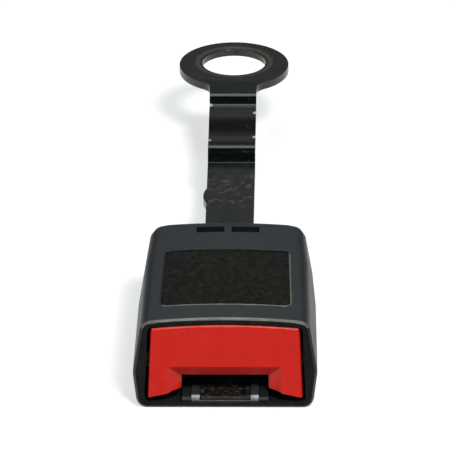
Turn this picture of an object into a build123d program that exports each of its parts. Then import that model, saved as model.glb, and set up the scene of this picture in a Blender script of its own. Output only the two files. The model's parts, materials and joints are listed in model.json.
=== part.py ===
from build123d import *
import math
import os

# Seat belt buckle, end release: a two-shell moulded housing on a cranked steel strap.
# Millimetres. Origin under the middle of the whole part, +X across, +Y from the push button
# to the anchor ring, +Z up. Lengths called "at" run back from the front lip of the housing.

# Housing
housing_length = 75.5
housing_height = 24.9
front_half_width = 26.6
side_taper = 1.5
side_start_at = 9.0
side_bend_at = 48.0
side_bend_taper = 0.5
parting_height = 9.5
crown_radius = 240.0
upper_lean = 9.6
lower_lean = 8.0
front_lean = 17.7
side_wall = 2.2
roof_wall = 2.2
floor_wall = 1.3
top_edge_radius = 3.0
bottom_edge_radius = 3.2
rear_corner_radius = 6.0
rear_edge_radius = 2.0
rear_end_steps = 3
front_edge_break = 0.7
rear_half_width = front_half_width - side_taper
bend_half_width = front_half_width - side_bend_taper

# Mouth of the housing, where the button shows
rim_depth = 3.5
rim_side_low = 3.3
rim_side_high = 4.3
mouth_roof_wall = 1.5
mouth_reach = 24.5
mouth_corner_radius = 1.6
mouth_half_width_low = front_half_width - rim_side_low
mouth_half_width_high = front_half_width - rim_side_high

# Velour pad and its recess, snap windows behind it
pad_front_at = 17.1
pad_rear_at = 54.4
pad_half_width_front = 19.0
pad_half_width_rear = 18.3
pad_corner_radius = 2.2
pad_thickness = 0.8
pad_sink = 0.25
pad_gap = 0.15
window_length = 3.8
window_setback = 5.3
window_inner = 1.1
window_outer = 9.3
window_rear_at = housing_length - window_setback
window_front_at = window_rear_at - window_length

# Strap stations inside the housing, worked forward from its rear end
cushion_thickness = 1.0
cushion_depth = 3.3
cushion_gap = 0.3
tab_gap = 2.1
rib_setback = 3.0
rib_thickness = 2.0
rivet_edge_distance = 8.2
rivet_to_riser = 5.9
strap_end_gap = 1.0
cushion_rear_at = housing_length - side_wall / 2
cushion_front_at = cushion_rear_at - cushion_depth
tab_rear_at = cushion_front_at - tab_gap
rib_at = tab_rear_at - rib_setback
rivet_at = tab_rear_at - rivet_edge_distance
frame_rear_at = rivet_at - rivet_to_riser
strap_start_at = frame_rear_at + strap_end_gap

# Steel frame
steel = 1.9
frame_side_room = 8.9
frame_plate_at = 20.0
frame_front_at = 1.5
finger_width = 2.35
finger_chamfer = 0.7
tie_height = 0.5
tie_length = 0.9
window_half_width = 7.35
frame_window_rear_gap = 11.4
pivot_to_riser = 6.4
lock_pin_lead = 11.0
wall_over_slot = 1.5
wall_shoulder = 12.2
wall_top_lead = 7.5
wall_front_slope = 4.5
wall_rear_slope = 7.4
tab_half_width = 11.0
locating_peg_radius = 1.5
locating_peg_at = 28.0
locating_peg_x = 11.2
frame_half_width = rear_half_width - frame_side_room
frame_window_rear_at = frame_rear_at - frame_window_rear_gap
pivot_at = frame_rear_at - pivot_to_riser
lock_pin_at = pivot_at - lock_pin_lead
wall_top_front_at = lock_pin_at - wall_top_lead
wall_top_rear_at = frame_rear_at - wall_rear_slope
wall_front_at = wall_top_front_at - wall_front_slope

# Anchor strap and ring
strap_width = 14.6
strap_thickness = 2.5
strap_low_top = 13.0
crank_at = 142.7
crest_at = 144.0
crest_top = 17.4
trough_front_at = 151.0
trough_rear_at = 168.0
trough_top = 16.6
shelf_at = 175.6
shelf_top = 17.8
ring_bend_at = 177.8
ring_top = 20.0
bend_radius = 2.2
trough_radius = 7.0
ring_centre_at = 201.2
ring_radius = 17.2
hole_centre_at = 203.1
hole_radius = 10.0
hole_coin_width = 2.2
hole_coin_depth = 0.3
neck_radius = 4.5
nib_front_at = 111.5
nib_peak_at = 118.0
nib_rear_at = 123.5
nib_height = 1.0
edge_break = 0.3

# Anchor rivet and washer
rivet_radius = 3.0
rivet_head_radius = 4.7
rivet_head_height = 1.8
rivet_head_slope = 1.2
washer_radius = 5.0
washer_thickness = 0.8

# Button
button_top_gap = 0.5
button_side_gap_low = 0.9
button_side_gap_high = 0.8
button_sink = 0.4
button_depth = 15.0
button_leg_outer_height = 2.5
button_leg_inner_height = 4.1
button_leg_slant_half_width = 15.3
button_edge_radius = 0.9
button_top_wall = 1.8
button_side_wall = 2.1
button_face_wall = 2.4
button_travel = 5.5
slot_half_width = 12.45
slot_top = 7.6
funnel_depth = 3.3
funnel_half_width = 16.6
funnel_top = 11.3
pocket_floor = 12.4
lug_catch = 0.2
lug_low = 10.0
lug_high = 14.0
lug_length = 3.0
stop_gap = 0.2
arm_thickness = 3.4
arm_side_room = 2.5
arm_half_height = 4.0
arm_overlap = 4.0
button_half_width_low = mouth_half_width_low - button_side_gap_low
button_half_width_high = mouth_half_width_high - button_side_gap_high
pocket_half_width = button_half_width_high - button_side_wall
lug_half_width = mouth_half_width_low + lug_catch
arm_outer = rear_half_width - side_wall - arm_side_room
arm_inner = arm_outer - arm_thickness
arm_middle = (arm_inner + arm_outer) / 2

# Ejector
ejector_front_at = 1.8
ejector_gap = 0.15
slider_top = 3.0
slider_bottom = 1.95
lug_at = 17.0
lug_thickness = 3.4
lug_inner = 5.4
lug_root = 1.0
ejector_lug_top = 6.6
block_at = 28.0
block_thickness = 3.0
block_half_width = 3.8
block_top = 7.7
block_root = 0.5
block_edge_radius = 0.75

# Latch
pivot_height = 9.9
pivot_radius = 2.0
latch_drop_angle = 7.5
nose_front_at = 22.0
nose_rear_at = 27.0
nose_bottom = 3.35
nose_half_width = 4.8
nose_slant = 1.6
latch_bottom = 8.3
latch_top = 12.3
latch_low_top = 10.8
latch_half_width = 6.6
latch_boss_radius = 3.6
latch_boss_length = 4.8
latch_side_gap = 0.5
crossbar_reach = 6.5

# Lock pin
lock_pin_radius = 2.1
lock_pin_height = 14.7
lock_pin_end_gap = 0.3
lock_pin_travel = 4.5
lock_gap = 0.45
slot_gap = 0.2
pivot_gap = 0.05
lock_pin_half_length = arm_outer - lock_pin_end_gap
wall_top = lock_pin_height + lock_pin_radius + slot_gap + wall_over_slot

# Springs
coil_wire = 0.6
coil_sides = 4
coil_steps = 9
ejector_coil_radius = 1.5
ejector_spring_height = 5.5
ejector_spring_turns = 6
button_coil_radius = 1.8
button_spring_turns = 4
button_spring_room = 13.0
pin_coil_radius = 1.4
pin_spring_turns = 2
pin_spring_room = 5.4
spring_stop_setback = 13.5
spring_stop_thickness = 2.0
spring_stop_half_height = 3.6
spring_peg_radius = 1.0
spring_peg_length = 2.4
seat_thickness = 1.5
spring_end_gap = 0.05
seat_radius = 1.8
spring_stop_at = housing_length - spring_stop_setback
arm_rear_at = spring_stop_at - button_spring_room

# Tongue guides, rattle strips and tongue ramps
guide_thickness = 1.5
guide_height = 3.3
guide_front_gap = 1.5
guide_rear_gap = 3.5
guide_gap = 0.1
guide_lead_in = 1.3
guide_lead_depth = 0.9
strip_thickness = 1.0
ramp_gap = 0.15
ramp_top = 2.9

overrun = 1.0

# The front lip lies a little behind the corner that its chamfer takes off
lean_sine = math.sin(math.radians(front_lean))
lean_cosine = math.cos(math.radians(front_lean))
lip_setback = front_edge_break * lean_sine
overall_length = ring_centre_at + ring_radius - lip_setback
front_y = -overall_length / 2 - lip_setback


def along(distance):
    """Y of a point that lies the given distance behind the front lip."""
    return front_y + distance


def leaning_plane(setback):
    """Plane of the leaning front face, moved back into the housing by setback."""
    outward = (0, -lean_cosine, lean_sine)
    face = Plane(origin=(0, front_y, 0), x_dir=(1, 0, 0), z_dir=outward)
    return face.offset(-setback)


def face_height(height, setback):
    """Distance up a leaning plane, at the given setback, to the given height."""
    return (height + setback * lean_sine) / lean_cosine


def crown_drop(half_width, radius):
    """How far a crowned surface falls from its middle to the given half width."""
    return radius - math.sqrt(radius**2 - half_width**2)


def cross_section(at, half_width, top, bottom, rounded):
    """Section across the housing: sides that lean in from the parting, a crowned top, a flat bottom."""
    high_half = half_width - (top + overrun - parting_height) * math.tan(math.radians(upper_lean))
    low_half = half_width - (parting_height - bottom) * math.tan(math.radians(lower_lean))
    crown = crown_radius - (housing_height - top)
    with BuildSketch(Plane.XZ.offset(-along(at))) as section:
        with BuildLine():
            right = [(low_half, bottom), (half_width, parting_height), (high_half, top + overrun)]
            left = [(-x, z) for x, z in reversed(right)]
            Polyline(*right, *left, close=True)
        make_face()
        with Locations((0, top - crown)):
            Circle(crown, mode=Mode.INTERSECT)
        if rounded:
            shoulders = section.vertices().filter_by(lambda corner: corner.Z > parting_height + overrun)
            fillet(shoulders, top_edge_radius)
            fillet(section.vertices().group_by(Axis.Z)[0], bottom_edge_radius)
    return section.sketch


def housing_form(inset, roof, floor, rounded):
    """The housing's form, with its sides moved in by inset, its top and bottom by roof and floor."""
    corner = rear_corner_radius - inset
    rear_edge = max(rear_edge_radius - roof, 0)
    top = housing_height - roof
    sections = [
        cross_section(-rim_depth, front_half_width - inset, top, floor, rounded),
        cross_section(side_start_at, front_half_width - inset, top, floor, rounded),
        cross_section(side_bend_at, bend_half_width - inset, top, floor, rounded),
    ]
    for step in range(rear_end_steps + 1):
        turn = math.radians(90 * step / rear_end_steps)
        at = housing_length - inset - corner * (1 - math.sin(turn))
        half_width = rear_half_width - inset - corner * (1 - math.cos(turn))
        drop = rear_edge * (1 - math.cos(turn))
        sections.append(cross_section(at, half_width, top - drop, floor + drop, rounded))
    with BuildPart() as form:
        loft(sections, ruled=True)
    return form.part


def crown_cylinder(depth):
    """Solid under the crowned top surface, the given depth below it."""
    with BuildPart() as crown:
        with BuildSketch(Plane.XZ.offset(-front_y)):
            with Locations((0, housing_height - crown_radius)):
                Circle(crown_radius - depth)
        extrude(amount=overall_length, both=True)
    return crown.part


def front_outline(low_half, high_half, low, high):
    """Closed outline seen from the front, with leaning sides and a crowned top."""
    shoulder = high - crown_drop(high_half, crown_radius)
    with BuildLine() as outline:
        Polyline((-high_half, shoulder), (-low_half, low), (low_half, low), (high_half, shoulder))
        ThreePointArc((-high_half, shoulder), (0, high), (high_half, shoulder))
    return outline.line


def block(x_limits, y_limits, z_limits, mode=Mode.ADD):
    """Box between two limits on each axis, joined to the open part."""
    limits = (x_limits, y_limits, z_limits)
    middle = [(low + high) / 2 for low, high in limits]
    size = [high - low for low, high in limits]
    with Locations(tuple(middle)):
        Box(*size, mode=mode)


def peg(x, at, bottom, top, radius, mode=Mode.ADD):
    """Upright round peg, or a hole when subtracted."""
    with Locations((x, along(at), bottom)):
        Cylinder(radius, top - bottom, align=(Align.CENTER, Align.CENTER, Align.MIN), mode=mode)


def cross_bar(at, height, radius, half_length, mode=Mode.ADD):
    """Round bar, or a bore when subtracted, that lies across the buckle."""
    with Locations((0, along(at), height)):
        Cylinder(radius, 2 * half_length, rotation=(0, 90, 0), mode=mode)


def lengthwise_peg(x, front_at, rear_at, height, radius):
    """Round peg that lies along the buckle."""
    with Locations((x, along((front_at + rear_at) / 2), height)):
        Cylinder(radius, rear_at - front_at, rotation=(90, 0, 0))


def coil_spring(x, height, front_at, rear_at, coil_radius, turns):
    """Compression spring along the buckle, between two seats."""
    start_y = along(front_at) + coil_wire / 2 + spring_end_gap
    travel = rear_at - front_at - coil_wire - 2 * spring_end_gap
    stations = turns * coil_steps
    with BuildPart() as spring:
        with BuildLine() as wire:
            Helix(travel / turns, travel, coil_radius, center=(x, start_y, height), direction=(0, 1, 0))
        for station in range(stations + 1):
            place = wire.line @ (station / stations)
            outward = (place.X - x, 0, place.Z - height)
            with BuildSketch(Plane(place, x_dir=outward, z_dir=wire.line % (station / stations))):
                RegularPolygon(coil_wire / 2, coil_sides)
        loft(ruled=True)
    return spring.part


def finish(part, name):
    """Label a finished piece and write its file."""
    part.label = name
    export_step(part, f"parts/{name}.step")


os.makedirs("parts", exist_ok=True)

# Outer form of the closed housing, cut by the leaning front face
with BuildPart() as outer_form:
    add(housing_form(0, 0, 0, True))
    split(bisect_by=leaning_plane(0), keep=Keep.BOTTOM)
    front_face = outer_form.faces().sort_by(Axis.Y)[0]
    chamfer(front_face.edges(), front_edge_break)

# Space inside it: the hollow behind the rim, and the mouth that the button fills
mouth_top = housing_height - mouth_roof_wall
with BuildPart() as hollow:
    add(housing_form(side_wall, roof_wall, floor_wall, False))
    split(bisect_by=leaning_plane(rim_depth), keep=Keep.BOTTOM)
    with BuildSketch(Plane.XZ.offset(-along(-rim_depth))) as mouth:
        make_face(front_outline(mouth_half_width_low, mouth_half_width_high, floor_wall, mouth_top))
        fillet(mouth.vertices(), mouth_corner_radius)
    extrude(amount=-(rim_depth + mouth_reach))

# Recess for the pad in the crowned top
recess_depth = pad_sink + pad_thickness


def pad_outline(gap):
    """Outline of the pad in plan, smaller than its recess by gap."""
    front = along(pad_front_at)
    rear = along(pad_rear_at)
    half_front = pad_half_width_front
    half_rear = pad_half_width_rear
    with BuildSketch() as pad:
        with BuildLine():
            Polyline(
                (-half_front, front), (half_front, front), (half_rear, rear), (-half_rear, rear), close=True
            )
        make_face()
        fillet(pad.vertices(), pad_corner_radius)
        if gap > 0:
            offset(amount=-gap, mode=Mode.REPLACE)
    return pad.sketch


with BuildPart() as recess:
    extrude(pad_outline(0), amount=housing_height + overrun)
    add(crown_cylinder(recess_depth), mode=Mode.SUBTRACT)

strap_low_bottom = strap_low_top - strap_thickness
strap_opening_low = strap_low_bottom - cushion_thickness
strap_opening_high = strap_low_top + cushion_thickness
strap_opening_half = strap_width / 2 + cushion_gap
wall_inner = frame_half_width - steel
strip_top = wall_top + strip_thickness
rib_root = housing_height - roof_wall

# Upper cover
with BuildPart() as upper_cover:
    add(outer_form.part)
    add(hollow.part, mode=Mode.SUBTRACT)
    split(bisect_by=Plane.XY.offset(parting_height), keep=Keep.TOP)
    for side in (-1, 1):
        rib = sorted((side * wall_inner, side * frame_half_width))
        block(rib, (along(wall_top_front_at), along(wall_top_rear_at)), (strip_top, rib_root))
    press_rib = (along(rib_at), along(rib_at + rib_thickness))
    block((-strap_width / 2, strap_width / 2), press_rib, (strap_low_top, rib_root))
    add(recess.part, mode=Mode.SUBTRACT)
    for side in (-1, 1):
        snap_window = sorted((side * window_inner, side * window_outer))
        window_limits = (along(window_front_at), along(window_rear_at))
        block(snap_window, window_limits, (strap_opening_high, housing_height), mode=Mode.SUBTRACT)
    rear_opening = (along(cushion_front_at), along(housing_length + overrun))
    opening_width = (-strap_opening_half, strap_opening_half)
    block(opening_width, rear_opening, (strap_opening_low, strap_opening_high), mode=Mode.SUBTRACT)
finish(upper_cover.part, "upper_cover")

# Velour pad, glued into the recess
with BuildPart() as velour_pad:
    extrude(pad_outline(pad_gap), amount=housing_height + overrun)
    add(crown_cylinder(pad_sink), mode=Mode.INTERSECT)
    add(crown_cylinder(recess_depth), mode=Mode.SUBTRACT)
finish(velour_pad.part, "velour_pad")

# Lower cover, with the ribs and pegs that carry the works
plate_top = floor_wall + steel
tab_bottom = strap_low_bottom - steel
with BuildPart() as lower_cover:
    add(outer_form.part)
    add(hollow.part, mode=Mode.SUBTRACT)
    split(bisect_by=Plane.XY.offset(parting_height), keep=Keep.BOTTOM)
    block(opening_width, rear_opening, (strap_opening_low, strap_opening_high), mode=Mode.SUBTRACT)
    for side in (-1, 1):
        ramp = sorted((side * (window_half_width + finger_width + ramp_gap), side * slot_half_width))
        block(ramp, (along(frame_front_at), along(frame_plate_at - ramp_gap)), (floor_wall, ramp_top))
        peg(side * locating_peg_x, locating_peg_at, floor_wall / 2, plate_top, locating_peg_radius)
        spring_stop = sorted((side * (arm_inner - stop_gap), side * (arm_outer + stop_gap)))
        stop_length = (along(spring_stop_at), along(spring_stop_at + spring_stop_thickness))
        block(spring_stop, stop_length, (floor_wall, lock_pin_height + spring_stop_half_height))
        peg_front_at = spring_stop_at - spring_peg_length
        lengthwise_peg(side * arm_middle, peg_front_at, spring_stop_at, lock_pin_height, spring_peg_radius)
    block((-tab_half_width, tab_half_width), press_rib, (floor_wall, tab_bottom))
finish(lower_cover.part, "lower_cover")

# Steel frame: a folded base with two side walls, and a raised tab for the strap
plate_middle = floor_wall + steel / 2
tab_middle = strap_low_bottom - steel / 2
riser_middle = frame_rear_at - steel / 2
frame_bend_radius = steel / 2 + 0.5
with BuildPart() as buckle_frame:
    with BuildSketch(Plane.YZ):
        with BuildLine() as fold:
            FilletPolyline(
                (along(frame_plate_at), plate_middle),
                (along(riser_middle), plate_middle),
                (along(riser_middle), tab_middle),
                (along(tab_rear_at), tab_middle),
                radius=frame_bend_radius,
            )
        trace(line_width=steel)
    extrude(amount=tab_half_width, both=True)
    plate_rear = riser_middle - frame_bend_radius
    plate_length = (along(frame_plate_at), along(plate_rear))
    block((-frame_half_width, frame_half_width), plate_length, (floor_wall, plate_top))
    finger_length = (along(frame_front_at), along(frame_plate_at))
    finger_half = window_half_width + finger_width
    block((-finger_half, finger_half), finger_length, (floor_wall, plate_top))
    front_edges = buckle_frame.faces().sort_by(Axis.Y)[0].edges().sort_by(Axis.Z)[-1:]
    chamfer(front_edges, finger_chamfer)
    with BuildSketch(Plane.YZ.offset(wall_inner)) as side_wall_outline:
        with BuildLine():
            Polyline(
                (along(wall_front_at), floor_wall),
                (along(wall_front_at), wall_shoulder),
                (along(wall_top_front_at), wall_top),
                (along(wall_top_rear_at), wall_top),
                (along(frame_rear_at), wall_shoulder),
                (along(plate_rear), floor_wall),
                close=True,
            )
        make_face()
        fillet(side_wall_outline.vertices().group_by(Axis.Y)[-1], steel)
    extrude(amount=steel)
    mirror(about=Plane.YZ)
    frame_window = (along(frame_front_at + tie_length), along(frame_window_rear_at))
    window_width = (-window_half_width, window_half_width)
    block(window_width, frame_window, (0, plate_top), mode=Mode.SUBTRACT)
    tie_window = (along(frame_front_at), along(frame_plate_at))
    block(window_width, tie_window, (floor_wall + tie_height, plate_top), mode=Mode.SUBTRACT)
    for side in (-1, 1):
        peg_hole = locating_peg_radius + pivot_gap
        peg(side * locating_peg_x, locating_peg_at, 0, plate_top, peg_hole, mode=Mode.SUBTRACT)
    cross_bar(pivot_at, pivot_height, pivot_radius + pivot_gap, frame_half_width, mode=Mode.SUBTRACT)
    peg(0, rivet_at, tab_bottom, strap_low_bottom, rivet_radius + pivot_gap, mode=Mode.SUBTRACT)
    with BuildSketch(Plane.YZ):
        with Locations((along(lock_pin_at + (button_travel - lock_pin_travel) / 2), lock_pin_height)):
            SlotCenterToCenter(button_travel + lock_pin_travel, 2 * (lock_pin_radius + slot_gap))
    extrude(amount=frame_half_width, both=True, mode=Mode.SUBTRACT)
finish(buckle_frame.part, "buckle_frame")

# Anchor strap: one cranked blank that ends in a flat ring
strap_path = [
    (strap_start_at, strap_low_top),
    (crank_at, strap_low_top),
    (crest_at, crest_top),
    (trough_front_at, trough_top),
    (trough_rear_at, trough_top),
    (shelf_at, shelf_top),
    (ring_bend_at, ring_top),
    (ring_centre_at, ring_top),
]
strap_bends = [bend_radius, bend_radius, trough_radius, trough_radius, bend_radius, bend_radius]
half_thickness = strap_thickness / 2
ring_bottom = ring_top - strap_thickness
ring_y = along(ring_centre_at)
hole_y = along(hole_centre_at)
with BuildPart() as anchor_strap:
    with BuildSketch(Plane.YZ):
        with BuildLine():
            FilletPolyline(
                *[(along(at), top - half_thickness) for at, top in strap_path],
                radius=strap_bends,
            )
        trace(line_width=strap_thickness)
    extrude(amount=strap_width / 2, both=True)
    with BuildSketch(Plane.XY.offset(strap_low_bottom)):
        with BuildLine():
            nib_root = -strap_width / 2 + edge_break
            Line((nib_root, along(nib_front_at)), (nib_root, along(nib_rear_at)))
            nib_peak = (-strap_width / 2 - nib_height, along(nib_peak_at))
            ThreePointArc((nib_root, along(nib_front_at)), nib_peak, (nib_root, along(nib_rear_at)))
        make_face()
    extrude(amount=strap_thickness)
    with BuildSketch(Plane.XY.offset(ring_bottom)) as ring:
        neck_start = along(ring_bend_at) + neck_radius
        with Locations((0, (neck_start + ring_y) / 2)):
            Rectangle(strap_width, ring_y - neck_start)
        with Locations((0, ring_y)):
            Circle(ring_radius)
        neck_corners = ring.vertices().filter_by(lambda v: abs(abs(v.X) - strap_width / 2) < edge_break)
        fillet(neck_corners.sort_by(Axis.Y)[-2:], neck_radius)
    extrude(amount=strap_thickness)
    with Locations((0, hole_y, ring_bottom)):
        upright = (Align.CENTER, Align.CENTER, Align.MIN)
        Cylinder(hole_radius, strap_thickness, align=upright, mode=Mode.SUBTRACT)
    coin_start = ring_top - hole_coin_depth
    with BuildSketch(Plane.XY.offset(coin_start)) as coin_low:
        with Locations((0, hole_y)):
            Circle(hole_radius)
    with BuildSketch(Plane.XY.offset(ring_top)) as coin_high:
        with Locations((0, hole_y)):
            Circle(hole_radius + hole_coin_width)
    loft([coin_low.sketch, coin_high.sketch], mode=Mode.SUBTRACT)
    peg(0, rivet_at, strap_low_bottom, strap_low_top, rivet_radius + pivot_gap, mode=Mode.SUBTRACT)
finish(anchor_strap.part, "anchor_strap")

# Rivet through the strap and the frame's tab, with a washer under its upper head
washer_top = strap_low_top + washer_thickness
with BuildPart() as rivet_washer:
    peg(0, rivet_at, strap_low_top, washer_top, washer_radius)
    peg(0, rivet_at, strap_low_top, washer_top, rivet_radius + pivot_gap, mode=Mode.SUBTRACT)
finish(rivet_washer.part, "rivet_washer")

with BuildPart() as anchor_rivet:
    head_flat_radius = rivet_head_radius - rivet_head_slope
    with Locations((0, along(rivet_at), tab_bottom - rivet_head_height / 2)):
        Cone(head_flat_radius, rivet_head_radius, rivet_head_height)
    with Locations((0, along(rivet_at), washer_top + rivet_head_height / 2)):
        Cone(rivet_head_radius, head_flat_radius, rivet_head_height)
    peg(0, rivet_at, tab_bottom, washer_top, rivet_radius)
finish(anchor_rivet.part, "anchor_rivet")

# Rubber cushions above and below the strap where it leaves the housing
cushion_length = (along(cushion_front_at), along(cushion_rear_at))
cushion_width = (-strap_width / 2, strap_width / 2)
with BuildPart() as strap_cushion_lower:
    block(cushion_width, cushion_length, (strap_opening_low, strap_low_bottom))
finish(strap_cushion_lower.part, "strap_cushion_lower")

with BuildPart() as strap_cushion_upper:
    block(cushion_width, cushion_length, (strap_low_top, strap_opening_high))
finish(strap_cushion_upper.part, "strap_cushion_upper")

# Tongue guides clipped inside the side walls, and felt strips on top of the walls
for side, hand in ((-1, "left"), (1, "right")):
    guide_outer = wall_inner - guide_gap
    guide_width = sorted((side * guide_outer, side * (guide_outer - guide_thickness)))
    guide_length = (along(wall_front_at + guide_front_gap), along(pivot_at - guide_rear_gap))
    with BuildPart() as tongue_guide:
        block(guide_width, guide_length, (plate_top, plate_top + guide_height))
        front_inner = tongue_guide.edges().filter_by(Axis.Z).group_by(Axis.Y)[0]
        lead_in = front_inner.sort_by(lambda edge: abs(edge.center().X))[:1]
        chamfer(lead_in, guide_lead_in, guide_lead_depth)
    finish(tongue_guide.part, f"tongue_guide_{hand}")

    strip_width = sorted((side * wall_inner, side * frame_half_width))
    with BuildPart() as rattle_strip:
        block(strip_width, (along(wall_top_front_at), along(wall_top_rear_at)), (wall_top, strip_top))
    finish(rattle_strip.part, f"rattle_strip_{hand}")

# Seat of the ejector spring, against the frame's riser
riser_face_at = frame_rear_at - steel
seat_face_at = riser_face_at - seat_thickness
with BuildPart() as spring_seat:
    lengthwise_peg(0, seat_face_at, riser_face_at, ejector_spring_height, seat_radius)
    seat_peg_at = seat_face_at - spring_peg_length
    lengthwise_peg(0, seat_peg_at, seat_face_at, ejector_spring_height, spring_peg_radius)
finish(spring_seat.part, "spring_seat")

# Push button: a leaning face over two legs, a funnel round the tongue slot, and two arms
button_top = housing_height - mouth_roof_wall - button_top_gap
face_setback = button_sink * lean_cosine
arm_low = lock_pin_height - arm_half_height
arm_high = lock_pin_height + arm_half_height
pin_slot_front = lock_pin_at - lock_pin_travel - lock_pin_radius - slot_gap
pin_slot_rear = lock_pin_at + lock_pin_radius + slot_gap + pin_spring_room
with BuildPart() as button_pocket:
    pocket_high = button_top - button_top_wall
    with BuildSketch(Plane.XZ.offset(-front_y)):
        make_face(front_outline(pocket_half_width, pocket_half_width, pocket_floor, pocket_high))
    extrude(amount=-button_depth)
    split(bisect_by=leaning_plane(face_setback + button_face_wall), keep=Keep.BOTTOM)


def funnel_section(depth):
    """Outline of the funnel on the plane that lies the given depth behind the button's face."""
    share = depth / funnel_depth
    half = funnel_half_width + (slot_half_width - funnel_half_width) * share
    top = funnel_top + (slot_top - funnel_top) * share
    with BuildSketch(leaning_plane(face_setback + depth)) as section:
        top_line = face_height(top, face_setback + depth)
        with Locations((0, top_line / 2)):
            Rectangle(2 * half, top_line)
    return section.sketch


with BuildPart() as release_button:
    with BuildSketch(Plane.XZ.offset(-front_y)):
        leg_foot = button_leg_outer_height
        make_face(front_outline(button_half_width_low, button_half_width_high, leg_foot, button_top))
        with BuildLine():
            leg = button_leg_inner_height
            outer = button_half_width_low + overrun
            slant = button_leg_slant_half_width
            leg_line = [(-outer, leg_foot), (-slant, leg), (slant, leg), (outer, leg_foot)]
            Polyline((-outer, 0), *leg_line, (outer, 0), close=True)
        make_face(mode=Mode.SUBTRACT)
        with Locations((0, slot_top / 2)):
            Rectangle(2 * slot_half_width, slot_top, mode=Mode.SUBTRACT)
    extrude(amount=-button_depth)
    split(bisect_by=leaning_plane(face_setback), keep=Keep.BOTTOM)
    face_edges = release_button.faces().sort_by(Axis.Y)[0].edges()
    side_edges = face_edges.sort_by(Axis.X)
    fillet([face_edges.sort_by(Axis.Z)[-1], side_edges[0], side_edges[-1]], button_edge_radius)
    loft([funnel_section(-overrun), funnel_section(funnel_depth)], mode=Mode.SUBTRACT)
    add(button_pocket.part, mode=Mode.SUBTRACT)
    lug_setback = rim_depth + stop_gap
    with BuildSketch(leaning_plane(lug_setback)):
        lug_start = face_height(lug_low, lug_setback)
        lug_end = face_height(lug_high, lug_setback)
        with Locations((0, (lug_start + lug_end) / 2)):
            Rectangle(2 * lug_half_width, lug_end - lug_start)
            Rectangle(2 * pocket_half_width, lug_end - lug_start, mode=Mode.SUBTRACT)
    extrude(amount=-lug_length)
    for side in (-1, 1):
        arm_width = sorted((side * arm_inner, side * arm_outer))
        block(arm_width, (along(button_depth - arm_overlap), along(arm_rear_at)), (arm_low, arm_high))
        peg_rear_at = arm_rear_at + spring_peg_length
        lengthwise_peg(side * arm_middle, arm_rear_at, peg_rear_at, lock_pin_height, spring_peg_radius)
    pin_slot = (along(pin_slot_front), along(pin_slot_rear))
    slot_half = lock_pin_radius + slot_gap
    slot_height = (lock_pin_height - slot_half, lock_pin_height + slot_half)
    block((-arm_outer, arm_outer), pin_slot, slot_height, mode=Mode.SUBTRACT)
finish(release_button.part, "release_button")

# Ejector: a slider in the frame's window, two lugs that the tongue pushes, and a spring block
slider_half = window_half_width - ejector_gap
block_rear_at = block_at + block_thickness
with BuildPart() as ejector:
    slider_length = (along(ejector_front_at), along(block_rear_at))
    block((-slider_half, slider_half), slider_length, (slider_bottom, slider_top))
    nose_edges = ejector.edges().filter_by(Axis.Y).group_by(Axis.Z)[0]
    chamfer(nose_edges, (slider_top - slider_bottom) / 2)
    for side in (-1, 1):
        lug_width = sorted((side * lug_inner, side * slider_half))
        lug_length_limits = (along(lug_at), along(lug_at + lug_thickness))
        block(lug_width, lug_length_limits, (slider_top - lug_root, ejector_lug_top))
    block_width = (-block_half_width, block_half_width)
    block_length = (along(block_at), along(block_rear_at))
    block(block_width, block_length, (slider_top - block_root, block_top))
    upright_edges = ejector.edges().filter_by(Axis.X).group_by(Axis.Z)[-1]
    fillet(upright_edges, block_edge_radius)
    ejector_peg_rear = block_rear_at + spring_peg_length
    lengthwise_peg(0, block_rear_at, ejector_peg_rear, ejector_spring_height, spring_peg_radius)
finish(ejector.part, "ejector")

# Latch: a nose that drops into the tongue, and a ramp that the lock pin closes
drop = math.radians(latch_drop_angle)
latch_plane = Plane(
    origin=(0, along(pivot_at), pivot_height),
    x_dir=(0, math.cos(drop), -math.sin(drop)),
    z_dir=(1, 0, 0),
)


def from_pivot(at, height):
    """Place on the closed latch, measured from its pivot."""
    return (at - pivot_at, height - pivot_height)


# Where the lock pin lies as the open and the closed latch see it
open_back = lock_pin_at - pivot_at
pin_above = lock_pin_height - pivot_height
pin_open = (
    open_back * math.cos(drop) - pin_above * math.sin(drop),
    open_back * math.sin(drop) + pin_above * math.cos(drop),
)
pin_closed = (open_back - lock_pin_travel, pin_above)
ramp_run = pin_open[0] - pin_closed[0]
ramp_fall = pin_closed[1] - pin_open[1]
ramp_length = math.hypot(ramp_run, ramp_fall)
ramp_offset = lock_pin_radius + lock_gap
ramp_point = (
    pin_closed[0] - ramp_offset * ramp_fall / ramp_length,
    pin_closed[1] - ramp_offset * ramp_run / ramp_length,
)
high_line = latch_top - pivot_height
low_line = latch_low_top - pivot_height
ramp_high = (ramp_point[0] - (high_line - ramp_point[1]) * ramp_run / ramp_fall, high_line)
ramp_low = (ramp_point[0] + (ramp_point[1] - low_line) * ramp_run / ramp_fall, low_line)

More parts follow.
